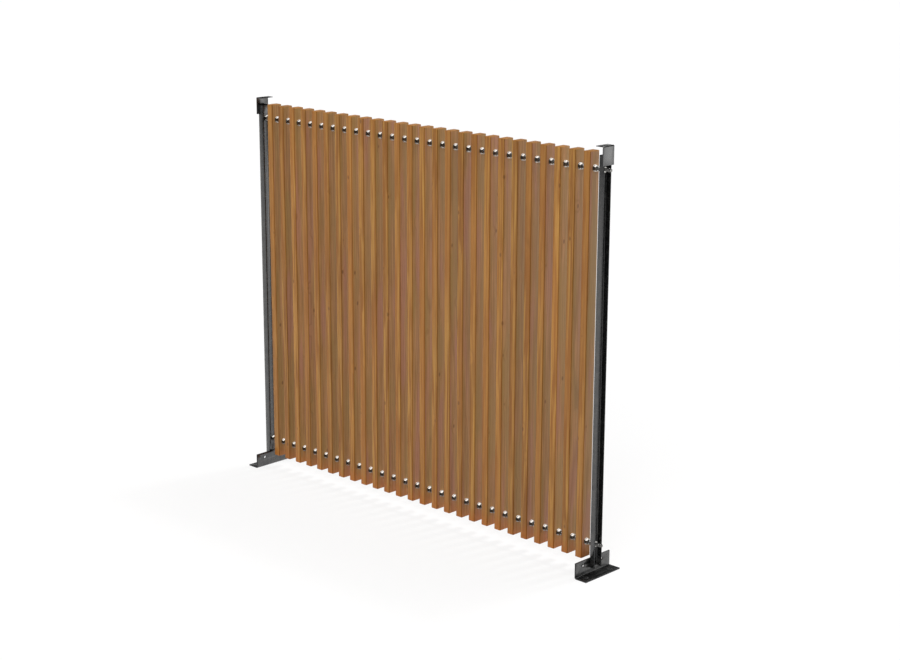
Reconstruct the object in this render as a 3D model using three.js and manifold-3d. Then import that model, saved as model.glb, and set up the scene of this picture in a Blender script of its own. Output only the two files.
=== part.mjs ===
// A free-standing garden privacy screen: a row of upright wooden slats threaded on two steel rods,
// held between two steel channel posts on angle feet, with an angle bracket on top of each post.
// Millimetres. +X runs along the screen, -Y is its front, +Z is up.
// The origin is on the ground, midway between the posts.

import * as THREE from "three";
import { mergeVertices } from "three/addons/utils/BufferGeometryUtils.js";
import Module from "manifold-3d";

const wasm = await Module();
wasm.setup();

// Driving dimensions ------------------------------------------------------------------------------

const SEAT_GAP = 0.3; // between two pieces that touch

const SLAT_COUNT = 26;
const SLAT_PITCH = 64;
const SLAT_THICKNESS = 30; // along X
const SLAT_DEPTH = 48; // along Y
const SLAT_BOTTOM = 50;
const SLAT_TOP = 1479;
const SLAT_EDGE_RADIUS = 4;

const ROD_DIAMETER = 12;
const ROD_HEIGHTS = { lower: 108, upper: 1421 };
const ROD_HALF_LENGTH = 886;
const ROD_HOLE_DIAMETER = 13;

const NUT_ACROSS_FLATS = 19;
const NUT_HEIGHT = 10;
const WASHER_DIAMETER = 24;
const WASHER_THICKNESS = 2.5;

const POST_INNER_FACE = 848; // from the middle of the screen to the web
const POST_WIDTH = 40; // web, along Y
const POST_FLANGE = 22; // along X
const POST_WALL = 3;
const POST_BEND_RADIUS = 4.5; // outside the bend
const POST_BOTTOM = 25;
const POST_TOP = 1471;

const FOOT_LENGTH = 184; // along Y
const FOOT_LEG_HEIGHT = 58;
const FOOT_LEG_WIDTH = 52;
const FOOT_THICKNESS = 5;
const FOOT_BEND_RADIUS = 7;
const FOOT_HOLE_DIAMETER = 10;
const UPRIGHT_HOLE = { fromMiddle: 50, height: 38 };
const FLOOR_HOLE = { fromMiddle: 57, fromPost: 25 };

const BRACKET_TOP = 1502;
const BRACKET_LENGTH = 58; // along Y
const BRACKET_PLATE_HEIGHT = 66;
const BRACKET_PLATE_WIDTH = 31;
const BRACKET_THICKNESS = 2.5;
const BRACKET_BEND_RADIUS = 4;

const BEND_STEPS = 3; // facets in each bend of the sheet steel
const EDGE_STEPS = 2; // facets in each rounded slat edge
const ROD_SIDES = 8;
const WASHER_SIDES = 9;
const HOLE_SIDES = 8;
const DRILL_OVERRUN = 1; // past each end of a hole
const MERGE_DISTANCE = 1e-4; // vertices closer than this are one

// Materials ---------------------------------------------------------------------------------------

const wood = new THREE.MeshStandardMaterial({ color: 0xa07043, roughness: 0.6, metalness: 0 });
const blackSteel = new THREE.MeshStandardMaterial({ color: 0x4c4c4a, roughness: 0.4, metalness: 0.6 });
const stainless = new THREE.MeshStandardMaterial({ color: 0xc8c6c0, roughness: 0.25, metalness: 1 });

// Solids ------------------------------------------------------------------------------------------

function toSolid(geometry) {
  geometry.deleteAttribute("normal");
  geometry.deleteAttribute("uv");
  const merged = mergeVertices(geometry, MERGE_DISTANCE);
  return new wasm.Manifold(
    new wasm.Mesh({
      numProp: 3,
      vertProperties: merged.getAttribute("position").array,
      triVerts: new Uint32Array(merged.index.array),
    }),
  );
}

function toGeometry(solid) {
  const mesh = solid.getMesh();
  const geometry = new THREE.BufferGeometry();
  geometry.setAttribute("position", new THREE.BufferAttribute(mesh.vertProperties, 3));
  geometry.setIndex(new THREE.BufferAttribute(mesh.triVerts, 1));
  geometry.computeVertexNormals();
  return geometry;
}

function namedMesh(name, geometry, material) {
  const mesh = new THREE.Mesh(geometry, material);
  mesh.name = name;
  return mesh;
}

function extrude(shape, depth, curveSegments) {
  return new THREE.ExtrudeGeometry(shape, { depth, curveSegments, bevelEnabled: false });
}

// A prism along X from startX, with its corners on a circle of the given radius.
function prismAlongX(radius, sides, startX, length, y, z) {
  const prism = new THREE.CylinderGeometry(radius, radius, length, sides);
  prism.rotateZ(-Math.PI / 2);
  prism.translate(startX + length / 2, y, z);
  return toSolid(prism);
}

// The corner radius of a drill whose flats lie on the hole's circle, so that what goes through the
// hole never touches it.
function drillRadius(diameter) {
  return diameter / 2 / Math.cos(Math.PI / HOLE_SIDES);
}

function drillAlongX(diameter, startX, depth, y, z) {
  const length = depth + 2 * DRILL_OVERRUN;
  return prismAlongX(drillRadius(diameter), HOLE_SIDES, startX - DRILL_OVERRUN, length, y, z);
}

function drillAlongZ(diameter, x, y, startZ, depth) {
  const radius = drillRadius(diameter);
  const drill = new THREE.CylinderGeometry(radius, radius, depth + 2 * DRILL_OVERRUN, HOLE_SIDES);
  drill.rotateX(Math.PI / 2);
  drill.translate(x, y, startZ + depth / 2);
  return toSolid(drill);
}

// Wooden slats ------------------------------------------------------------------------------------

function slatOutline() {
  const x = SLAT_THICKNESS / 2;
  const y = SLAT_DEPTH / 2;
  const r = SLAT_EDGE_RADIUS;
  const outline = new THREE.Shape();
  outline.moveTo(-x + r, -y);
  outline.lineTo(x - r, -y);
  outline.absarc(x - r, -y + r, r, -Math.PI / 2, 0);
  outline.lineTo(x, y - r);
  outline.absarc(x - r, y - r, r, 0, Math.PI / 2);
  outline.lineTo(-x + r, y);
  outline.absarc(-x + r, y - r, r, Math.PI / 2, Math.PI);
  outline.lineTo(-x, -y + r);
  outline.absarc(-x + r, -y + r, r, Math.PI, 1.5 * Math.PI);
  return outline;
}

function slatGeometry() {
  const blank = extrude(slatOutline(), SLAT_TOP - SLAT_BOTTOM, EDGE_STEPS);
  blank.translate(0, 0, SLAT_BOTTOM);
  let slat = toSolid(blank);
  for (const height of Object.values(ROD_HEIGHTS)) {
    slat = slat.subtract(
      drillAlongX(ROD_HOLE_DIAMETER, -SLAT_THICKNESS / 2, SLAT_THICKNESS, 0, height),
    );
  }
  return toGeometry(slat);
}

function slatX(index) {
  return (index - (SLAT_COUNT - 1) / 2) * SLAT_PITCH;
}

function makeSlats() {
  const slats = new THREE.Group();
  const geometry = slatGeometry();
  for (let index = 0; index < SLAT_COUNT; index++) {
    const name = "slat_" + String(index + 1).padStart(2, "0");
    const slat = namedMesh(name, geometry, wood);
    slat.position.x = slatX(index);
    slats.add(slat);
  }
  return slats;
}

// Rods, with a washer and a nut tightened against each face of each slat -----------------------------

function hexNut(startX, y, z) {
  const cornerRadius = NUT_ACROSS_FLATS / Math.sqrt(3);
  return prismAlongX(cornerRadius, 6, startX, NUT_HEIGHT, y, z);
}

// side is +1 for the slat's right face and -1 for its left face.
function clampStack(faceX, side, z) {
  const seatX = faceX + side * SEAT_GAP;
  const shoulderX = seatX + side * WASHER_THICKNESS;
  const washerStart = Math.min(seatX, shoulderX);
  const nutStart = side > 0 ? shoulderX : shoulderX - NUT_HEIGHT;
  const washer = prismAlongX(WASHER_DIAMETER / 2, WASHER_SIDES, washerStart, WASHER_THICKNESS, 0, z);
  return washer.add(hexNut(nutStart, 0, z));
}

function makeRod(name, z) {
  let rod = prismAlongX(ROD_DIAMETER / 2, ROD_SIDES, -ROD_HALF_LENGTH, 2 * ROD_HALF_LENGTH, 0, z);
  for (let index = 0; index < SLAT_COUNT; index++) {
    for (const side of [-1, 1]) {
      const faceX = slatX(index) + (side * SLAT_THICKNESS) / 2;
      rod = rod.add(clampStack(faceX, side, z));
    }
  }
  return namedMesh(name, toGeometry(rod), stainless);
}

// A loose nut round the rod, against one face of a post's web.
function makePostNut(name, startX, z) {
  const nut = hexNut(startX, 0, z).subtract(
    drillAlongX(ROD_DIAMETER + 2 * SEAT_GAP, startX, NUT_HEIGHT, 0, z),
  );
  return namedMesh(name, toGeometry(nut), stainless);
}

// Folded steel --------------------------------------------------------------------------------------
// Made for the right-hand end of the screen; the left-hand end is its mirror image.

// Channel section: the web faces the slats and the flanges point outwards.
function postOutline() {
  const half = POST_WIDTH / 2;
  const outer = POST_BEND_RADIUS;
  const inner = POST_BEND_RADIUS - POST_WALL;
  const outline = new THREE.Shape();
  outline.moveTo(POST_FLANGE, -half);
  outline.lineTo(POST_FLANGE, -half + POST_WALL);
  outline.lineTo(outer, -half + POST_WALL);
  outline.absarc(outer, -half + outer, inner, 1.5 * Math.PI, Math.PI, true);
  outline.lineTo(POST_WALL, half - outer);
  outline.absarc(outer, half - outer, inner, Math.PI, Math.PI / 2, true);
  outline.lineTo(POST_FLANGE, half - POST_WALL);
  outline.lineTo(POST_FLANGE, half);
  outline.lineTo(outer, half);
  outline.absarc(outer, half - outer, outer, Math.PI / 2, Math.PI);
  outline.lineTo(0, -half + outer);
  outline.absarc(outer, -half + outer, outer, Math.PI, 1.5 * Math.PI);
  return outline;
}

function postSolid() {
  const blank = extrude(postOutline(), POST_TOP - POST_BOTTOM, BEND_STEPS);
  blank.translate(POST_INNER_FACE, 0, POST_BOTTOM);
  let post = toSolid(blank);
  for (const height of Object.values(ROD_HEIGHTS)) {
    post = post.subtract(drillAlongX(ROD_HOLE_DIAMETER, POST_INNER_FACE, POST_WALL, 0, height));
  }
  return post;
}

// Angle section in the X-Z plane: a flat leg of the given width from the origin along +X, and an
// upright leg of the given height along +Z, both of one thickness, joined by a bend.
function angleOutline(width, height, thickness, bendRadius) {
  const inner = bendRadius - thickness;
  const outline = new THREE.Shape();
  outline.moveTo(bendRadius, 0);
  outline.lineTo(width, 0);
  outline.lineTo(width, thickness);
  outline.lineTo(bendRadius, thickness);
  outline.absarc(bendRadius, bendRadius, inner, 1.5 * Math.PI, Math.PI, true);
  outline.lineTo(thickness, height);
  outline.lineTo(0, height);
  outline.lineTo(0, bendRadius);
  outline.absarc(bendRadius, bendRadius, bendRadius, Math.PI, 1.5 * Math.PI);
  return outline;
}

function angleGeometry(width, height, thickness, bendRadius, length) {
  const angle = extrude(angleOutline(width, height, thickness, bendRadius), length, BEND_STEPS);
  angle.rotateX(Math.PI / 2);
  angle.translate(0, length / 2, 0);
  return angle;
}

// The foot's upright leg stands between the slats and the post, and its flat leg points outwards.
function footSolid() {
  const innerFace = POST_INNER_FACE - SEAT_GAP - FOOT_THICKNESS;
  const blank = angleGeometry(
    FOOT_LEG_WIDTH,
    FOOT_LEG_HEIGHT,
    FOOT_THICKNESS,
    FOOT_BEND_RADIUS,
    FOOT_LENGTH,
  );
  blank.translate(innerFace, 0, 0);
  let foot = toSolid(blank);
  for (const side of [-1, 1]) {
    const uprightY = side * UPRIGHT_HOLE.fromMiddle;
    const floorY = side * FLOOR_HOLE.fromMiddle;
    const floorX = POST_INNER_FACE + FLOOR_HOLE.fromPost;
    foot = foot.subtract(
      drillAlongX(FOOT_HOLE_DIAMETER, innerFace, FOOT_THICKNESS, uprightY, UPRIGHT_HOLE.height),
    );
    foot = foot.subtract(drillAlongZ(FOOT_HOLE_DIAMETER, floorX, floorY, 0, FOOT_THICKNESS));
  }
  return foot;
}

// The bracket's plate closes the mouth of the post, and its top leg points back over the slats.
function bracketSolid() {
  const outerFace = POST_INNER_FACE + POST_FLANGE + SEAT_GAP + BRACKET_THICKNESS;
  const bracket = angleGeometry(
    BRACKET_PLATE_WIDTH,
    BRACKET_PLATE_HEIGHT,
    BRACKET_THICKNESS,
    BRACKET_BEND_RADIUS,
    BRACKET_LENGTH,
  );
  bracket.rotateY(Math.PI);
  bracket.translate(outerFace, 0, BRACKET_TOP);
  return toSolid(bracket);
}

// One end of the screen, with the nuts that hold its post on the rods: one inside and one outside
// the web on each rod.
function makeEnd(sideName) {
  const end = new THREE.Group();
  const pieces = { post: postSolid(), foot: footSolid(), top_bracket: bracketSolid() };
  for (const [name, solid] of Object.entries(pieces)) {
    end.add(namedMesh(sideName + "_" + name, toGeometry(solid), blackSteel));
  }
  const nutStarts = {
    inner: POST_INNER_FACE - SEAT_GAP - NUT_HEIGHT,
    outer: POST_INNER_FACE + POST_WALL + SEAT_GAP,
  };
  for (const [rodName, z] of Object.entries(ROD_HEIGHTS)) {
    for (const [place, startX] of Object.entries(nutStarts)) {
      end.add(makePostNut(sideName + "_" + rodName + "_" + place + "_nut", startX, z));
    }
  }
  return end;
}

// Assembly ------------------------------------------------------------------------------------------

const screen = new THREE.Group();
screen.add(makeSlats());
for (const [rodName, z] of Object.entries(ROD_HEIGHTS)) {
  screen.add(makeRod(rodName + "_rod", z));
}
screen.add(makeEnd("right"));
const leftEnd = makeEnd("left");
leftEnd.scale.x = -1;
screen.add(leftEnd);

export default screen;
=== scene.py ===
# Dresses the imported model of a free-standing garden privacy screen: upright wooden slats on two
# threaded rods, between two steel channel posts with angle feet and top brackets.
# Metres, in the model's own frame: +X along the screen, -Y its front, +Z up.

import math
import random

import bmesh
import bpy
from mathutils import Matrix, Vector


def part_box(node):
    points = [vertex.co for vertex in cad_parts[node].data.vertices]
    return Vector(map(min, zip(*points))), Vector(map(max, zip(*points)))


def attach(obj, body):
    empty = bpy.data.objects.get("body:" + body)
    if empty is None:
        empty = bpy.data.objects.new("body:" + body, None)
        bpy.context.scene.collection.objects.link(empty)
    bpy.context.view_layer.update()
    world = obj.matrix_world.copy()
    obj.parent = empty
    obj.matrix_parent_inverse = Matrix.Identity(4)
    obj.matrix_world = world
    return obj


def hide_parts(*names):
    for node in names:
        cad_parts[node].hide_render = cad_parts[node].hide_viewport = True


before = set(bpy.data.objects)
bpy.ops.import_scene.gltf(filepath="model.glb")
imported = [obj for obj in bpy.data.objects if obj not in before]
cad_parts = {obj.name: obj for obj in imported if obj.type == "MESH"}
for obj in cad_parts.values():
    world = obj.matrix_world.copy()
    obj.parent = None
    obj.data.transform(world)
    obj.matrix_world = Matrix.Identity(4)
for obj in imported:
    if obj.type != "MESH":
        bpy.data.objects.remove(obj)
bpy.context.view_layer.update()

# Driving dimensions -------------------------------------------------------------------------------

MM = 0.001
X, Y, Z = range(3)  # the axes' numbers

SLAT_COUNT = 26
SLAT_EDGE_RADIUS = 4 * MM  # along the slat
SLAT_END_RADIUS = 1.5 * MM  # round its two ends

ROD_DIAMETER = 12 * MM
ROD_HOLE_DIAMETER = 13 * MM
ROD_END_CHAMFER = 1 * MM
THREAD_PITCH = 1.75 * MM
THREAD_DEPTH = 0.9 * MM

SEAT_GAP = 0.3 * MM
BORE_RADIUS = ROD_DIAMETER / 2 + 0.1 * MM  # of the nuts and washers
NUT_ACROSS_FLATS = 19 * MM
NUT_HEIGHT = 10 * MM
NUT_FACE_RADIUS = 0.475 * NUT_ACROSS_FLATS
NUT_CHAMFER_ANGLE = math.radians(30)
NUT_COUNTERSINK = 0.7 * MM
WASHER_DIAMETER = 24 * MM
WASHER_THICKNESS = 2.5 * MM
WASHER_EDGE = 0.3 * MM

POST_WALL = 3 * MM
POST_BEND_RADIUS = 4.5 * MM
FOOT_THICKNESS = 5 * MM
FOOT_BEND_RADIUS = 7 * MM
FOOT_HOLE_DIAMETER = 10 * MM
UPRIGHT_HOLE_FROM_MIDDLE = 50 * MM
UPRIGHT_HOLE_HEIGHT = 38 * MM
FLOOR_HOLE_FROM_MIDDLE = 57 * MM
FLOOR_HOLE_FROM_POST = 25 * MM
BRACKET_THICKNESS = 2.5 * MM
BRACKET_BEND_RADIUS = 4 * MM
STEEL_EDGE_RADIUS = 0.5 * MM

SLATS = [f"slat_{number:02d}" for number in range(1, SLAT_COUNT + 1)]
SLAT_BOXES = [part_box(slat) for slat in SLATS]
SLAT_CENTRES = [(low.x + high.x) / 2 for low, high in SLAT_BOXES]
SLAT_LOW, SLAT_HIGH = SLAT_BOXES[0]
SLAT_THICKNESS = SLAT_HIGH.x - SLAT_LOW.x
SLAT_DEPTH = SLAT_HIGH.y - SLAT_LOW.y

ROD_BOXES = {name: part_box(name) for name in ("lower_rod", "upper_rod")}
ROD_HEIGHTS = {name: (low.z + high.z) / 2 for name, (low, high) in ROD_BOXES.items()}

# Mesh tools ---------------------------------------------------------------------------------------

SMOOTH_BELOW = math.radians(35)
DRILL_SIDES = 40


def linked(name, data):
    """A new object in the scene."""
    thing = bpy.data.objects.new(name, data)
    bpy.context.scene.collection.objects.link(thing)
    return thing


def new_object(name, mesh, material, smooth=True):
    """A mesh object with one material. Edges sharper than the limit stay sharp."""
    if smooth:
        mesh.polygons.foreach_set("use_smooth", [True] * len(mesh.polygons))
        mesh.set_sharp_from_angle(angle=SMOOTH_BELOW)
    mesh.materials.clear()
    mesh.materials.append(material)
    return linked(name, mesh)


def finish_piece(piece, slot, *nodes):
    """The piece rides with the whole screen and stands for the nodes, which are hidden. The slot is not
    used.
    """
    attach(piece, "root")
    if nodes:
        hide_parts(*nodes)
    return piece


def loft(mesh_builder, rings, closed_loop=False):
    """Joins rings of equally many points with quads. The first and last are capped, or joined."""
    rows = [[mesh_builder.verts.new(point) for point in ring] for ring in rings]
    pairs = list(zip(rows, rows[1:]))
    if closed_loop:
        pairs.append((rows[-1], rows[0]))
    for row, following in pairs:
        for i in range(len(row)):
            j = (i + 1) % len(row)
            mesh_builder.faces.new((row[i], row[j], following[j], following[i]))
    if not closed_loop:
        mesh_builder.faces.new(list(reversed(rows[0])))
        mesh_builder.faces.new(rows[-1])


def build_mesh(name, fill):
    """Makes a mesh by calling fill on an empty bmesh, with all its faces turned outwards."""
    builder = bmesh.new()
    fill(builder)
    bmesh.ops.recalc_face_normals(builder, faces=builder.faces)
    mesh = bpy.data.meshes.new(name)
    builder.to_mesh(mesh)
    builder.free()
    return mesh


def applied(piece):
    """Bakes the object's modifiers into a new mesh and removes the object."""
    graph = bpy.context.evaluated_depsgraph_get()
    mesh = bpy.data.meshes.new_from_object(piece.evaluated_get(graph))
    bpy.data.objects.remove(piece)
    return mesh


def cut(mesh, cutters):
    """The mesh less the cutter meshes."""
    blank = linked("blank", mesh)
    tools = [linked("cutter", cutter) for cutter in cutters]
    for tool in tools:
        boolean = blank.modifiers.new("cut", "BOOLEAN")
        boolean.operation = "DIFFERENCE"
        boolean.solver = "EXACT"
        boolean.object = tool
    result = applied(blank)
    for tool in tools:
        bpy.data.objects.remove(tool)
    return result


def circle_along(axis, radius, centre, sides):
    """Points of a circle round the X or the Z axis."""
    points = []
    for i in range(sides):
        angle = 2 * math.pi * i / sides
        first, second = radius * math.cos(angle), radius * math.sin(angle)
        offset = Vector((0, first, second)) if axis == X else Vector((first, second, 0))
        points.append(Vector(centre) + offset)
    return points


def drill(axis, diameter, start, length):
    """A round cutter from start along X or Z."""
    step = Vector((length, 0, 0)) if axis == X else Vector((0, 0, length))
    rings = [
        circle_along(axis, diameter / 2, Vector(start) + step * end, DRILL_SIDES) for end in (0, 1)
    ]
    return build_mesh("drill", lambda builder: loft(builder, rings))


def arc(centre, radius, start_degrees, end_degrees, steps):
    """Points of an arc in a plane, both ends included."""
    points = []
    for i in range(steps + 1):
        angle = math.radians(start_degrees + (end_degrees - start_degrees) * i / steps)
        points.append((centre[0] + radius * math.cos(angle), centre[1] + radius * math.sin(angle)))
    return points


# Materials ----------------------------------------------------------------------------------------

# Sockets of the colour form of the Mix node.
MIX_FACTOR = 0
MIX_FIRST = 6
MIX_SECOND = 7
MIX_RESULT = 2


class Shader:
    """A short way to write the nodes of a material or of the world."""

    def __init__(self, owner):
        owner.use_nodes = True
        self.owner = owner
        self.tree = owner.node_tree
        self.tree.nodes.clear()

    def node(self, kind, inputs=None, **settings):
        made = self.tree.nodes.new(kind)
        for key, value in settings.items():
            setattr(made, key, value)
        for key, value in (inputs or {}).items():
            if isinstance(value, bpy.types.NodeSocket):
                self.tree.links.new(value, made.inputs[key])
            else:
                made.inputs[key].default_value = value
        return made

    def math(self, operation, *values):
        inputs = dict(enumerate(values))
        return self.node("ShaderNodeMath", inputs, operation=operation).outputs[0]

    def vector(self, operation, *values):
        inputs = dict(enumerate(values))
        made = self.node("ShaderNodeVectorMath", inputs, operation=operation)
        return made.outputs["Value" if operation == "LENGTH" else "Vector"]

    def separate(self, vector):
        """The vector's parts, by the names X, Y and Z."""
        return self.node("ShaderNodeSeparateXYZ", {0: vector}).outputs

    def noise(self, vector, scale, detail=3.0, roughness=0.5, distortion=0.0):
        inputs = {
            "Vector": vector,
            "Scale": scale,
            "Detail": detail,
            "Roughness": roughness,
            "Distortion": distortion,
        }
        return self.node("ShaderNodeTexNoise", inputs).outputs["Fac"]

    def grain(self, place, across, upwards, **settings):
        """Noise drawn out upwards. Across and upwards are its cells to a metre."""
        stretched = self.vector("MULTIPLY", place, (across, across, upwards))
        return self.noise(stretched, 1.0, **settings)

    def fit(self, value, low, high, to_low=0.0, to_high=1.0):
        """Maps low..high smoothly to to_low..to_high."""
        inputs = {
            "Value": value,
            "From Min": low,
            "From Max": high,
            "To Min": to_low,
            "To Max": to_high,
        }
        return self.node("ShaderNodeMapRange", inputs, interpolation_type="SMOOTHSTEP").outputs["Result"]

    def blend(self, factor, first, second):
        """Mixes two colours."""
        inputs = {MIX_FACTOR: factor}
        for index, colour in ((MIX_FIRST, first), (MIX_SECOND, second)):
            is_socket = isinstance(colour, bpy.types.NodeSocket)
            inputs[index] = colour if is_socket else (*colour, 1.0)
        made = self.node("ShaderNodeMix", inputs, data_type="RGBA", blend_type="MIX")
        return made.outputs[MIX_RESULT]

    def tint(self, colour, other, where, share):
        """Moves a colour towards another, by a share of where."""
        return self.blend(self.math("MULTIPLY", where, share), colour, other)

    def attribute(self, name, output):
        return self.node("ShaderNodeAttribute", attribute_name=name).outputs[output]

    def bump(self, height, strength, distance):
        inputs = {"Height": height, "Strength": strength, "Distance": distance}
        return self.node("ShaderNodeBump", inputs).outputs["Normal"]

    def surface(self, shader_socket):
        self.node("ShaderNodeOutputMaterial", {"Surface": shader_socket})
        return self.owner

    def principled(self, **inputs):
        """Ends the material in one principled surface. Socket names have _ for each space."""
        named = {name.replace("_", " "): value for name, value in inputs.items()}
        return self.surface(self.node("ShaderNodeBsdfPrincipled", named).outputs[0])


def new_shader(name):
    return Shader(bpy.data.materials.new(name))


# The colours are linear. A pair is the darker and the lighter end of a range.
NARROW_FACE = ((0.255, 0.094, 0.012), (0.465, 0.234, 0.052))
NARROW_FACE_PATCH = (0.360, 0.138, 0.024)
# Painted sheen and painted light: the wide faces' duller, greyer colours.
WIDE_PAINTED_SHEEN = ((0.345, 0.172, 0.052), (0.475, 0.246, 0.090))
WIDE_PAINTED_SHEEN_PINK = (0.430, 0.196, 0.115)
WIDE_PAINTED_SHEEN_OLIVE = (0.365, 0.210, 0.064)
END_GRAIN = (0.44, 0.180, 0.026)
LATE_WOOD = (0.19, 0.080, 0.017)
DARK_FIBRE = (0.15, 0.062, 0.014)
KNOT_SWIRL = (0.40, 0.180, 0.044)
KNOT_CORE = (0.110, 0.042, 0.010)
SOAKED_WOOD = (0.42, 0.120, 0.008)
# Painted shade on the rounded edges along the slat.
EDGE_PAINTED_SHADE = (0.13, 0.046, 0.006)

HALF_RING = 4.5 * MM  # half the width of a growth ring
SLOW_BEND = 30 * MM
QUICK_BEND = 4 * MM
KNOT_BEND = 6 * MM
SOAKED_FROM = 155 * MM  # above the ground, less the waver
SOAKED_FULLY = 85 * MM
SOAKED_WAVER = 80 * MM


def wood_material():
    """Oiled timber: growth rings round a pith outside the slat, streaks, fibres, small knots, painted
    sheen on the wide faces and painted shade on the rounded edges.
    """
    nodes = new_shader("slat_wood")
    coords = nodes.node("ShaderNodeTexCoord").outputs
    local = coords["Object"]
    above_ground = nodes.separate(local)["Z"]
    place = nodes.vector("ADD", local, nodes.attribute("slat_seed", "Vector"))
    facing = nodes.separate(nodes.vector("ABSOLUTE", coords["Normal"]))

    # Knots: stretched cells whose cores are small, dark and cross the grain.
    cell_place = nodes.vector("MULTIPLY", place, (16.0, 16.0, 9.0))
    cells = nodes.node("ShaderNodeTexVoronoi", {"Vector": cell_place, "Scale": 1.0}).outputs["Distance"]
    knot = nodes.fit(cells, 0.04, 0.10, 1.0, 0.0)
    swirl = nodes.fit(cells, 0.05, 0.32, 1.0, 0.0)

    # Growth rings, bent by slow and quick noise along the slat and pushed aside by the knots.
    slow = nodes.grain(place, 6.0, 1.6, detail=2.0)
    quick = nodes.grain(place, 60.0, 7.0, detail=3.0)
    from_pith = nodes.vector("SUBTRACT", local, nodes.attribute("slat_pith", "Vector"))
    bent = nodes.vector("LENGTH", nodes.vector("MULTIPLY", from_pith, (1.0, 1.0, 0.0)))
    for noise, reach in ((slow, SLOW_BEND), (quick, QUICK_BEND), (swirl, KNOT_BEND)):
        bent = nodes.math("MULTIPLY_ADD", noise, reach, bent)
    ring = nodes.math("PINGPONG", nodes.math("MULTIPLY", bent, 1 / HALF_RING), 1.0)
    late = nodes.fit(ring, 0.55, 1.0)

    # Streaks about 10 mm wide, fibres under 1 mm, and patches as wide as the slat or wider.
    streak = nodes.grain(place, 105.0, 3.4, detail=2.0, distortion=0.6)
    fibre = nodes.grain(place, 1500.0, 22.0, detail=2.0)
    patch = nodes.grain(place, 14.0, 1.1, detail=1.0)
    stain = nodes.grain(place, 22.0, 2.6, detail=1.0)

    # The wide faces, which look along the screen, get a duller, greyer copy of the wood's colour, which
    # is painted sheen and painted light: olive in one place, pink in another.
    golden = nodes.blend(nodes.fit(streak, 0.34, 0.66), *NARROW_FACE)
    golden = nodes.blend(nodes.fit(patch, 0.40, 0.66, 0.0, 0.6), golden, NARROW_FACE_PATCH)
    dull = nodes.blend(nodes.fit(streak, 0.32, 0.68), *WIDE_PAINTED_SHEEN)
    dull = nodes.blend(nodes.fit(stain, 0.50, 0.68, 0.0, 0.80), dull, WIDE_PAINTED_SHEEN_PINK)
    dull = nodes.blend(nodes.fit(stain, 0.34, 0.50, 0.80, 0.0), dull, WIDE_PAINTED_SHEEN_OLIVE)
    colour = nodes.blend(nodes.fit(facing["X"], 0.75, 0.98), golden, dull)
    colour = nodes.blend(nodes.fit(facing["Z"], 0.5, 0.9), colour, END_GRAIN)

    colour = nodes.tint(colour, LATE_WOOD, late, 0.30)
    colour = nodes.tint(colour, DARK_FIBRE, nodes.fit(fibre, 0.52, 0.72), 0.28)
    colour = nodes.tint(colour, KNOT_SWIRL, swirl, 0.25)
    colour = nodes.tint(colour, KNOT_CORE, knot, 0.60)

    # The oil has soaked deeper into the lower end.
    wavering = nodes.math("MULTIPLY_ADD", streak, SOAKED_WAVER, above_ground)
    soaked = nodes.fit(wavering, SOAKED_FULLY, SOAKED_FROM, 1.0, 0.0)
    colour = nodes.tint(colour, SOAKED_WOOD, soaked, 0.70)

    # Painted shade: the rounded edges along the slat are darkened.
    edge = nodes.fit(nodes.math("MULTIPLY", facing["X"], facing["Y"]), 0.18, 0.46)
    colour = nodes.tint(colour, EDGE_PAINTED_SHADE, edge, 0.65)

    tone = {"Color": colour, "Value": nodes.attribute("slat_tone", "Fac")}
    relief = nodes.math("ADD", nodes.math("MULTIPLY", fibre, 0.5), nodes.math("MULTIPLY", late, 0.5))
    return nodes.principled(
        Base_Color=nodes.node("ShaderNodeHueSaturation", tone).outputs["Color"],
        Roughness=nodes.fit(fibre, 0.3, 0.7, 0.42, 0.56),
        Normal=nodes.bump(relief, strength=0.25, distance=0.4 * MM),
        Specular_IOR_Level=nodes.fit(edge, 0.0, 1.0, 0.40, 0.12),
    )


STEEL_COAT = ((0.096, 0.097, 0.098), (0.124, 0.123, 0.121))
STEEL_DRAWN = (0.078, 0.079, 0.081)
# Painted shade for the faces on the cut edges.
CUT_EDGE_PAINTED_SHADE = (0.038, 0.038, 0.039)


def steel_material():
    """Dark coated steel with a low sheen, faint mottling and the fine unevenness of its coat."""
    nodes = new_shader("dark_steel")
    place = nodes.node("ShaderNodeNewGeometry").outputs["Position"]
    mottle = nodes.noise(place, 45.0, detail=4.0, roughness=0.6)
    drawn = nodes.grain(place, 160.0, 7.0, detail=3.0)
    grit = nodes.noise(place, 1400.0, detail=2.0)
    colour = nodes.blend(nodes.fit(mottle, 0.3, 0.7), *STEEL_COAT)
    colour = nodes.tint(colour, STEEL_DRAWN, nodes.fit(drawn, 0.45, 0.75), 0.30)
    # Painted shade: the faces on the sheet's cut edges are darkened.
    colour = nodes.blend(nodes.attribute("cut_edge", "Fac"), colour, CUT_EDGE_PAINTED_SHADE)
    uneven = nodes.math("ADD", mottle, nodes.math("MULTIPLY", grit, 0.5))
    relief = nodes.math("ADD", nodes.math("MULTIPLY", grit, 0.4), drawn)
    return nodes.principled(
        Base_Color=colour,
        Metallic=0.97,
        Roughness=nodes.fit(uneven, 0.5, 1.0, 0.20, 0.30),
        Normal=nodes.bump(relief, strength=0.12, distance=0.3 * MM),
    )


# Painted reflection and painted highlight of the nuts and washers, chosen by which way a face looks.
NUT_FLATS_PAINTED_REFLECTION = ((0.080, 0.070, 0.060), (0.130, 0.120, 0.105))
NUT_ENDS_PAINTED_REFLECTION = ((0.36, 0.35, 0.33), (0.48, 0.47, 0.44))
PAINTED_HIGHLIGHT = (0.97, 0.95, 0.90)


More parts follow.
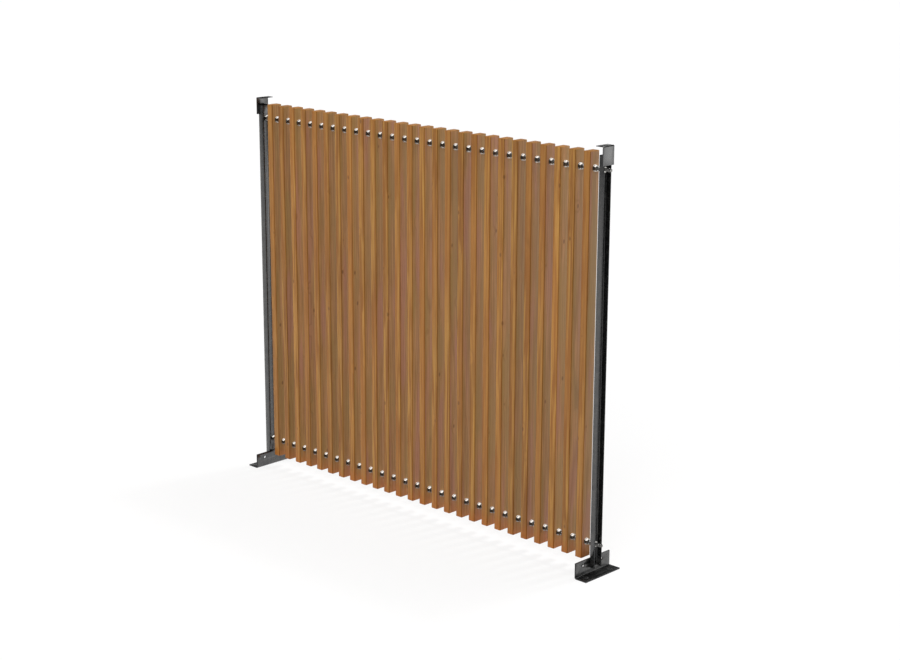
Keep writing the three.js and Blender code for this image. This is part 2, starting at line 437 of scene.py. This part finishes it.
def fastener_material():
    """Nuts and washers: plating whose colour is painted by facing: a painted dark reflection on the
    flats, lighter ends, and a painted highlight, pale and not metallic, where it faces up or down.
    """
    nodes = new_shader("fastener_steel")
    coords = nodes.node("ShaderNodeTexCoord").outputs
    turned = nodes.noise(
        nodes.vector("MULTIPLY", coords["Object"], (900.0, 300.0, 300.0)), 1.0, detail=3.0
    )
    smear = nodes.fit(nodes.noise(coords["Object"], 120.0, detail=3.0), 0.3, 0.7)
    facing = nodes.separate(nodes.vector("ABSOLUTE", coords["Normal"]))
    # Painted highlight on faces that look up or down; painted reflection, dark on the flats and lighter
    # on the ends.
    painted_highlight_mask = nodes.fit(facing["Z"], 0.45, 0.80)
    flats = nodes.blend(smear, *NUT_FLATS_PAINTED_REFLECTION)
    ends = nodes.blend(smear, *NUT_ENDS_PAINTED_REFLECTION)
    colour = nodes.blend(nodes.fit(facing["X"], 0.60, 0.95), flats, ends)
    return nodes.principled(
        Base_Color=nodes.blend(painted_highlight_mask, colour, PAINTED_HIGHLIGHT),
        Metallic=nodes.fit(painted_highlight_mask, 0.0, 1.0, 1.0, 0.0),
        Roughness=nodes.fit(turned, 0.3, 0.7, 0.16, 0.28),
        Normal=nodes.bump(turned, strength=0.08, distance=0.2 * MM),
    )


ROD_SMEAR = ((0.105, 0.102, 0.10), (0.17, 0.167, 0.16))


def rod_material():
    """Threaded rod: bare steel, unevenly dull, darker than the ends of the nuts."""
    nodes = new_shader("rod_steel")
    smear = nodes.noise(nodes.node("ShaderNodeTexCoord").outputs["Object"], 150.0, detail=3.0)
    colour = nodes.blend(nodes.fit(smear, 0.3, 0.7), *ROD_SMEAR)
    return nodes.principled(Base_Color=colour, Metallic=1.0, Roughness=0.26)


wood = wood_material()
dark_steel = steel_material()
fastener_steel = fastener_material()
rod_steel = rod_material()

# Wooden slats -------------------------------------------------------------------------------------

SLAT_EDGE_STEPS = 6
SLAT_END_STEPS = 3

CHANCE_SEED = 7
PITH_DISTANCE = (30 * MM, 110 * MM)  # from the slat's middle
PATTERN_SHIFT = 20  # metres either way, so that no two slats share a pattern
TONE_RANGE = (0.90, 1.08)


def slat_ring(inset, z):
    """The slat's outline, drawn in by inset, at height z."""
    half_x = SLAT_THICKNESS / 2 - inset
    half_y = SLAT_DEPTH / 2 - inset
    radius = SLAT_EDGE_RADIUS - inset
    points = []
    for sign_x, sign_y, start in ((1, -1, -90), (1, 1, 0), (-1, 1, 90), (-1, -1, 180)):
        centre = (sign_x * (half_x - radius), sign_y * (half_y - radius))
        points += arc(centre, radius, start, start + 90, SLAT_EDGE_STEPS)
    return [Vector((x, y, z)) for x, y in points]


def slat_mesh():
    """One slat round the origin, with its ends eased and the two rod holes through it."""
    ease = arc((0, 0), SLAT_END_RADIUS, 0, 90, SLAT_END_STEPS)
    low, high = SLAT_LOW.z, SLAT_HIGH.z
    bottom = [slat_ring(SLAT_END_RADIUS - x, low + SLAT_END_RADIUS - z) for x, z in reversed(ease)]
    top = [slat_ring(SLAT_END_RADIUS - x, high - SLAT_END_RADIUS + z) for x, z in ease]
    blank = build_mesh("slat", lambda builder: loft(builder, bottom + top))
    through = 2 * SLAT_THICKNESS
    drills = [
        drill(X, ROD_HOLE_DIAMETER, (-through / 2, 0, height), through)
        for height in ROD_HEIGHTS.values()
    ]
    return cut(blank, drills)


def set_attribute(mesh, name, kind, value):
    """Gives every vertex the same value, for the material to read."""
    attribute = mesh.attributes.new(name, kind, "POINT")
    if kind == "FLOAT_VECTOR":
        attribute.data.foreach_set("vector", list(value) * len(mesh.vertices))
    else:
        attribute.data.foreach_set("value", [value] * len(mesh.vertices))


def make_slats():
    """The slats, each with its own pattern, pith and tone."""
    chance = random.Random(CHANCE_SEED)
    template = slat_mesh()
    for node, centre_x in zip(SLATS, SLAT_CENTRES):
        mesh = template.copy()
        angle = chance.uniform(0, 2 * math.pi)
        distance = chance.uniform(*PITH_DISTANCE)
        seed = [chance.uniform(-PATTERN_SHIFT, PATTERN_SHIFT) for _ in range(3)]
        pith = (distance * math.cos(angle), distance * math.sin(angle), 0)
        set_attribute(mesh, "slat_seed", "FLOAT_VECTOR", seed)
        set_attribute(mesh, "slat_pith", "FLOAT_VECTOR", pith)
        set_attribute(mesh, "slat_tone", "FLOAT", chance.uniform(*TONE_RANGE))
        slat = new_object(node + "_wood", mesh, wood)
        slat.location.x = centre_x
        finish_piece(slat, "slat_wood", node)
    bpy.data.meshes.remove(template)


# Rods, nuts and washers ---------------------------------------------------------------------------

TURN_SIDES = 48
ROD_SIDES = 20
RINGS_TO_A_PITCH = 4


def hex_radius(angle):
    """Distance from the nut's middle to its edge. A corner is at angle 0."""
    sixth = math.pi / 3
    from_flat = (angle % sixth) - sixth / 2
    return NUT_ACROSS_FLATS / 2 / math.cos(from_flat)


def nut_rings():
    """Rings of a chamfered hexagon nut along X from 0, with a countersunk bore."""
    chamfer_slope = math.tan(NUT_CHAMFER_ANGLE)
    mouth_radius = BORE_RADIUS + NUT_COUNTERSINK
    angles = [2 * math.pi * i / TURN_SIDES for i in range(TURN_SIDES)]

    def ring(x_of, radius_of):
        return [
            Vector((x_of(a), radius_of(a) * math.sin(a), radius_of(a) * math.cos(a))) for a in angles
        ]

    def drop(angle):
        return max(0.0, hex_radius(angle) - NUT_FACE_RADIUS) * chamfer_slope

    return [
        ring(lambda a: NUT_COUNTERSINK, lambda a: BORE_RADIUS),
        ring(lambda a: 0, lambda a: mouth_radius),
        ring(lambda a: 0, lambda a: NUT_FACE_RADIUS),
        ring(drop, hex_radius),
        ring(lambda a: NUT_HEIGHT - drop(a), hex_radius),
        ring(lambda a: NUT_HEIGHT, lambda a: NUT_FACE_RADIUS),
        ring(lambda a: NUT_HEIGHT, lambda a: mouth_radius),
        ring(lambda a: NUT_HEIGHT - NUT_COUNTERSINK, lambda a: BORE_RADIUS),
    ]


def washer_rings():
    """Rings of a flat washer along X from 0, with broken edges."""
    outer = WASHER_DIAMETER / 2
    steps = [
        (WASHER_EDGE, BORE_RADIUS),
        (0, BORE_RADIUS + WASHER_EDGE),
        (0, outer - WASHER_EDGE),
        (WASHER_EDGE, outer),
        (WASHER_THICKNESS - WASHER_EDGE, outer),
        (WASHER_THICKNESS, outer - WASHER_EDGE),
        (WASHER_THICKNESS, BORE_RADIUS + WASHER_EDGE),
        (WASHER_THICKNESS - WASHER_EDGE, BORE_RADIUS),
    ]
    return [circle_along(X, radius, (x, 0, 0), TURN_SIDES) for x, radius in steps]


def row_mesh(name, rings, starts, z):
    """One mesh of equal nuts or washers that begin at the starts along X, at height z."""

    def fill(builder):
        for start_x in starts:
            moved = [[point + Vector((start_x, 0, z)) for point in ring] for ring in rings]
            loft(builder, moved, closed_loop=True)

    return build_mesh(name, fill)


def stack_starts():
    """Where each washer and nut begins along X: one of each on both faces of every slat."""
    washers, nuts = [], []
    for centre_x in SLAT_CENTRES:
        right = centre_x + SLAT_THICKNESS / 2 + SEAT_GAP
        washers.append(right)
        nuts.append(right + WASHER_THICKNESS)
        left = centre_x - SLAT_THICKNESS / 2 - SEAT_GAP
        washers.append(left - WASHER_THICKNESS)
        nuts.append(left - WASHER_THICKNESS - NUT_HEIGHT)
    return washers, nuts


def thread_radius(x, angle):
    """Radius of a right-hand thread, whose crest and root are each flat for a quarter of the pitch."""
    phase = (x / THREAD_PITCH - angle / (2 * math.pi)) % 1.0
    crest = min(1.0, max(0.0, 2 * abs(2 * phase - 1) - 0.5))
    return ROD_DIAMETER / 2 - THREAD_DEPTH * (1 - crest)


def rod_stations(start_x, end_x, nuts):
    """Places along X for the rod's rings, close together except inside the slats' nuts."""
    fine = THREAD_PITCH / RINGS_TO_A_PITCH
    margin = 2 * THREAD_PITCH
    hidden = [
        (nut - WASHER_THICKNESS + margin, nut + NUT_HEIGHT + WASHER_THICKNESS - margin)
        for nut in sorted(nuts)
    ]
    stations = []
    x = start_x
    while x < end_x:
        stations.append(x)
        far_end = next((high for low, high in hidden if low < x < high), x)
        x = max(x + fine, far_end)
    return stations + [end_x]


def make_rod(name):
    """One rod with its thread and chamfered ends."""
    (low, high), z = ROD_BOXES[name], ROD_HEIGHTS[name]
    tip_radius = ROD_DIAMETER / 2 - ROD_END_CHAMFER
    _, nuts = stack_starts()

    def threaded_ring(x):
        points = []
        for i in range(ROD_SIDES):
            angle = 2 * math.pi * i / ROD_SIDES
            radius = thread_radius(x, angle)
            points.append(Vector((x, radius * math.cos(angle), z + radius * math.sin(angle))))
        return points

    stations = rod_stations(low.x + ROD_END_CHAMFER, high.x - ROD_END_CHAMFER, nuts)
    rings = [circle_along(X, tip_radius, (low.x, 0, z), ROD_SIDES)]
    rings += [threaded_ring(x) for x in stations]
    rings.append(circle_along(X, tip_radius, (high.x, 0, z), ROD_SIDES))
    mesh = build_mesh(name, lambda builder: loft(builder, rings))
    finish_piece(new_object(name + "_threaded", mesh, rod_steel), "stainless", name)


def make_fasteners(name):
    """The washers and nuts that clamp the slats on one rod."""
    washers, nuts = stack_starts()
    for kind, rings, starts in (("washers", washer_rings(), washers), ("nuts", nut_rings(), nuts)):
        title = f"{name}_{kind}"
        mesh = row_mesh(title, rings, starts, ROD_HEIGHTS[name])
        finish_piece(new_object(title, mesh, fastener_steel), "stainless", name)


def make_post_nuts():
    """A nut on each side of both posts' webs, on both rods."""
    rings = nut_rings()
    for side in ("left", "right"):
        for rod in ("lower", "upper"):
            for place in ("inner", "outer"):
                node = f"{side}_{rod}_{place}_nut"
                mesh = row_mesh(node, rings, [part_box(node)[0].x], ROD_HEIGHTS[rod + "_rod"])
                finish_piece(new_object(node + "_steel", mesh, fastener_steel), "stainless", node)


# Folded steel -------------------------------------------------------------------------------------

BEND_STEPS = 8
SOFTEN_ABOVE = math.radians(50)
SOFTEN_STEPS = 2
EDGE_REACH = 1.2 * STEEL_EDGE_RADIUS  # how far a cut edge's rounding reaches into the sheet
DRILL_REACH = 10 * MM  # on each side of the face where a sheet is drilled


def fold_outline(path, thickness):
    """The closed outline of a folded sheet: path is its outer face, thickened on its left."""
    inner = []
    for i, point in enumerate(path):
        before = path[max(i - 1, 0)]
        after = path[min(i + 1, len(path) - 1)]
        along = Vector((after[0] - before[0], after[1] - before[1])).normalized()
        inner.append((point[0] - along.y * thickness, point[1] + along.x * thickness))
    return list(path) + list(reversed(inner))


def folded_sheet(name, outline, place, ends):
    """Sweeps an outline between two ends, with place giving each point's position."""
    rings = [[place(first, second, end) for first, second in outline] for end in ends]
    return build_mesh(name, lambda builder: loft(builder, rings))


def soften(mesh):
    """Breaks the sheet's sharp edges with a narrow rounding."""
    piece = linked("soften", mesh)
    bevel = piece.modifiers.new("bevel", "BEVEL")
    bevel.width = STEEL_EDGE_RADIUS
    bevel.segments = SOFTEN_STEPS
    bevel.limit_method = "ANGLE"
    bevel.angle_limit = SOFTEN_ABOVE
    bevel.use_clamp_overlap = True
    return applied(piece)


def mark_cut_edges(mesh, planes):
    """Marks the faces that lie on one of the planes (axis, place), for the material to darken as painted
    shade.
    """

    def is_cut(face):
        corners = [mesh.vertices[index].co for index in face.vertices]
        return any(all(abs(c[axis] - at) < EDGE_REACH for c in corners) for axis, at in planes)

    marks = [float(is_cut(face)) for face in mesh.polygons]
    mesh.attributes.new("cut_edge", "FLOAT", "FACE").data.foreach_set("value", marks)


def steel_piece(mesh, node, cut_planes):
    """Softens the sheet, marks its cut edges and puts it in place of the node."""
    softened = soften(mesh)
    mark_cut_edges(softened, cut_planes)
    finish_piece(new_object(node + "_steel", softened, dark_steel), "dark_steel", node)


def make_post(side, out):
    """Channel section with its web towards the slats. out is +1 at the right end and -1 at the left."""
    node = side + "_post"
    low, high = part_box(node)
    web = low.x if out > 0 else high.x
    flange = high.x - low.x
    half = (high.y - low.y) / 2
    radius = POST_BEND_RADIUS
    path = [(flange, -half)] + arc((radius, -half + radius), radius, 270, 180, BEND_STEPS)
    path += arc((radius, half - radius), radius, 180, 90, BEND_STEPS) + [(flange, half)]
    outline = fold_outline(list(reversed(path)), POST_WALL)

    def place(x, y, z):
        return Vector((web + out * x, y, z))

    drills = [
        drill(X, ROD_HOLE_DIAMETER, (web - DRILL_REACH, 0, height), 2 * DRILL_REACH)
        for height in ROD_HEIGHTS.values()
    ]
    cut_planes = ((X, web + out * flange), (Z, low.z), (Z, high.z))
    steel_piece(cut(folded_sheet(node, outline, place, (low.z, high.z)), drills), node, cut_planes)


def angle_path(width, height, radius):
    """Outer face of an angle section: down the height, round the bend and out along the width."""
    return [(0, height)] + arc((radius, radius), radius, 180, 270, BEND_STEPS) + [(width, 0)]


def make_foot(side, out):
    """Angle with its upright leg against the post's web and its flat leg on the ground, outwards."""
    node = side + "_foot"
    low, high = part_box(node)
    inner, tip = (low.x, high.x) if out > 0 else (high.x, low.x)
    path = angle_path(high.x - low.x, high.z - low.z, FOOT_BEND_RADIUS)
    outline = fold_outline(path, FOOT_THICKNESS)

    def place(x, z, y):
        return Vector((inner + out * x, y, z))

    floor_x = inner + out * (FOOT_THICKNESS + SEAT_GAP + FLOOR_HOLE_FROM_POST)
    drills = []
    for sign in (-1, 1):
        upright = (inner - DRILL_REACH, sign * UPRIGHT_HOLE_FROM_MIDDLE, UPRIGHT_HOLE_HEIGHT)
        drills.append(drill(X, FOOT_HOLE_DIAMETER, upright, 2 * DRILL_REACH))
        floor = (floor_x, sign * FLOOR_HOLE_FROM_MIDDLE, -DRILL_REACH)
        drills.append(drill(Z, FOOT_HOLE_DIAMETER, floor, 2 * DRILL_REACH))
    cut_planes = ((X, tip), (Y, low.y), (Y, high.y), (Z, high.z))
    steel_piece(cut(folded_sheet(node, outline, place, (low.y, high.y)), drills), node, cut_planes)


def make_bracket(side, out):
    """Angle that closes the top of the post's mouth and points back over the slats."""
    node = side + "_top_bracket"
    low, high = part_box(node)
    outer, tip = (high.x, low.x) if out > 0 else (low.x, high.x)
    path = angle_path(high.x - low.x, high.z - low.z, BRACKET_BEND_RADIUS)
    outline = fold_outline(path, BRACKET_THICKNESS)

    def place(x, z, y):
        return Vector((outer - out * x, y, high.z - z))

    cut_planes = ((X, tip), (Y, low.y), (Y, high.y), (Z, low.z))
    steel_piece(folded_sheet(node, outline, place, (low.y, high.y)), node, cut_planes)


make_slats()
for rod_name in ROD_BOXES:
    make_rod(rod_name)
    make_fasteners(rod_name)
make_post_nuts()
for side_name, outwards in (("left", -1), ("right", 1)):
    make_post(side_name, outwards)
    make_foot(side_name, outwards)
    make_bracket(side_name, outwards)

# Studio -------------------------------------------------------------------------------------------

FLOOR_HALF = 150.0
FLOOR_DROP = 0.4 * MM  # below the feet
FLOOR_COLOUR = 0.72  # as it lights the screen
FLOOR_SHADING = 0.22  # the part of the seen floor that takes shadow
FLOOR_GLOW = 0.77  # the part that doesn't

EVEN_LIGHT = 0.35
SKY_GREY = 0.12
HORIZON_FADE = (0.05, 0.14)  # heights between which the white horizon turns into the grey
CAMERA_LOWERING = 0.4  # keeps the grey out of the camera's own view

BEHIND_AND_ABOVE = (0.08, 0.42, 0.90)

CAMERA_PLACE = (4.6653, -4.6835, 2.4378)
CAMERA_YAW = math.radians(43.9350)  # from +Y towards -X
CAMERA_PITCH = math.radians(14.5757)  # downwards
CAMERA_ROLL = math.radians(0.2038)
CAMERA_SENSOR = 36.0  # millimetres, like the lens
CAMERA_LENS = 73.847


def grey(level):
    return (level, level, level, 1.0)


def visible_ray(nodes):
    """1 for rays that show the background: to the camera, or by way of metal or glass."""
    path = nodes.node("ShaderNodeLightPath").outputs
    direct = nodes.math("MAXIMUM", path["Is Camera Ray"], path["Is Glossy Ray"])
    return nodes.math("MAXIMUM", direct, path["Is Transmission Ray"])


def seen_as(nodes, unseen, seen):
    """One shader for the light it gives, another for what the camera and the metal see."""
    inputs = {0: visible_ray(nodes), 1: unseen.outputs[0], 2: seen.outputs[0]}
    return nodes.node("ShaderNodeMixShader", inputs).outputs[0]


def make_floor():
    """A white floor that keeps the screen's soft shadow."""
    nodes = new_shader("floor")
    plain = nodes.node("ShaderNodeBsdfDiffuse", {"Color": grey(FLOOR_COLOUR)})
    shadowed = nodes.node("ShaderNodeBsdfDiffuse", {"Color": grey(FLOOR_SHADING)})
    glow = nodes.node("ShaderNodeEmission", {"Color": grey(1.0), "Strength": FLOOR_GLOW})
    white = nodes.node("ShaderNodeAddShader", {0: shadowed.outputs[0], 1: glow.outputs[0]})
    material = nodes.surface(seen_as(nodes, plain, white))
    signs = ((-1, -1), (1, -1), (1, 1), (-1, 1))
    corners = [Vector((x * FLOOR_HALF, y * FLOOR_HALF, -FLOOR_DROP)) for x, y in signs]
    mesh = bpy.data.meshes.new("floor")
    mesh.from_pydata(corners, [], [(0, 1, 2, 3)])
    new_object("floor", mesh, material, smooth=False)


def make_world():
    """Even light all round. Metal sees white at the horizon and a dim grey above, the camera white."""
    world = bpy.data.worlds.new("studio")
    bpy.context.scene.world = world
    nodes = Shader(world)
    height = nodes.separate(nodes.node("ShaderNodeTexCoord").outputs["Generated"])["Z"]
    to_camera = nodes.node("ShaderNodeLightPath").outputs["Is Camera Ray"]
    lowered = nodes.math("MULTIPLY_ADD", to_camera, -CAMERA_LOWERING, height)
    shade = nodes.fit(lowered, *HORIZON_FADE, 1.0, SKY_GREY)
    backdrop = nodes.node("ShaderNodeBackground", {"Strength": shade, "Color": grey(1.0)})
    even = nodes.node("ShaderNodeBackground", {"Strength": EVEN_LIGHT, "Color": grey(1.0)})
    nodes.node("ShaderNodeOutputWorld", {"Surface": seen_as(nodes, even, backdrop)})


def aim(lamp, place, target):
    """Puts a lamp at a place and points it at a target."""
    direction = Vector(target) - Vector(place)
    turn = direction.to_track_quat("-Z", "Y").to_matrix().to_4x4()
    lamp.matrix_world = Matrix.Translation(place) @ turn


def make_sun(name, towards, level, spread_degrees):
    """An even, soft light from a direction. A level of 1 renders a facing colour as written."""
    data = bpy.data.lights.new(name, "SUN")
    data.energy = level * math.pi
    data.angle = math.radians(spread_degrees)
    aim(linked(name, data), Vector(towards), (0, 0, 0))


def make_softbox(name, place, target, size, brightness):
    """A rectangular lamp, unseen by the camera. Its brightness is power by area, divided by pi."""
    data = bpy.data.lights.new(name, "AREA")
    data.shape = "RECTANGLE"
    data.size, data.size_y = size
    data.energy = brightness * math.pi * size[0] * size[1]
    box = linked(name, data)
    aim(box, Vector(place), target)
    box.visible_camera = False


def make_camera():
    """The photograph's viewpoint, solved from the screen itself."""
    across = math.cos(CAMERA_PITCH)
    forward = Vector(
        (-math.sin(CAMERA_YAW) * across, math.cos(CAMERA_YAW) * across, -math.sin(CAMERA_PITCH))
    )
    level = forward.cross(Vector((0, 0, 1))).normalized()
    upright = level.cross(forward)
    right = level * math.cos(CAMERA_ROLL) + upright * math.sin(CAMERA_ROLL)
    up = upright * math.cos(CAMERA_ROLL) - level * math.sin(CAMERA_ROLL)
    data = bpy.data.cameras.new("camera")
    data.sensor_width = CAMERA_SENSOR
    data.lens = CAMERA_LENS
    camera = linked("camera", data)
    turn = Matrix((right, up, -forward)).transposed().to_4x4()
    camera.matrix_world = Matrix.Translation(CAMERA_PLACE) @ turn
    bpy.context.scene.camera = camera


make_floor()
make_world()
make_sun("front_sun", towards=(0.33, -0.69, 0.64), level=0.58, spread_degrees=34)
make_sun("rear_sun", towards=BEHIND_AND_ABOVE, level=0.28, spread_degrees=22)
make_sun("rear_key", towards=BEHIND_AND_ABOVE, level=0.18, spread_degrees=5)
make_softbox(
    "side_softbox", place=(3.4, 3.0, 0.9), target=(0.8, 0.0, 0.8), size=(2.4, 1.8), brightness=1.3
)
make_camera()
bpy.context.scene.view_settings.view_transform = "Standard"
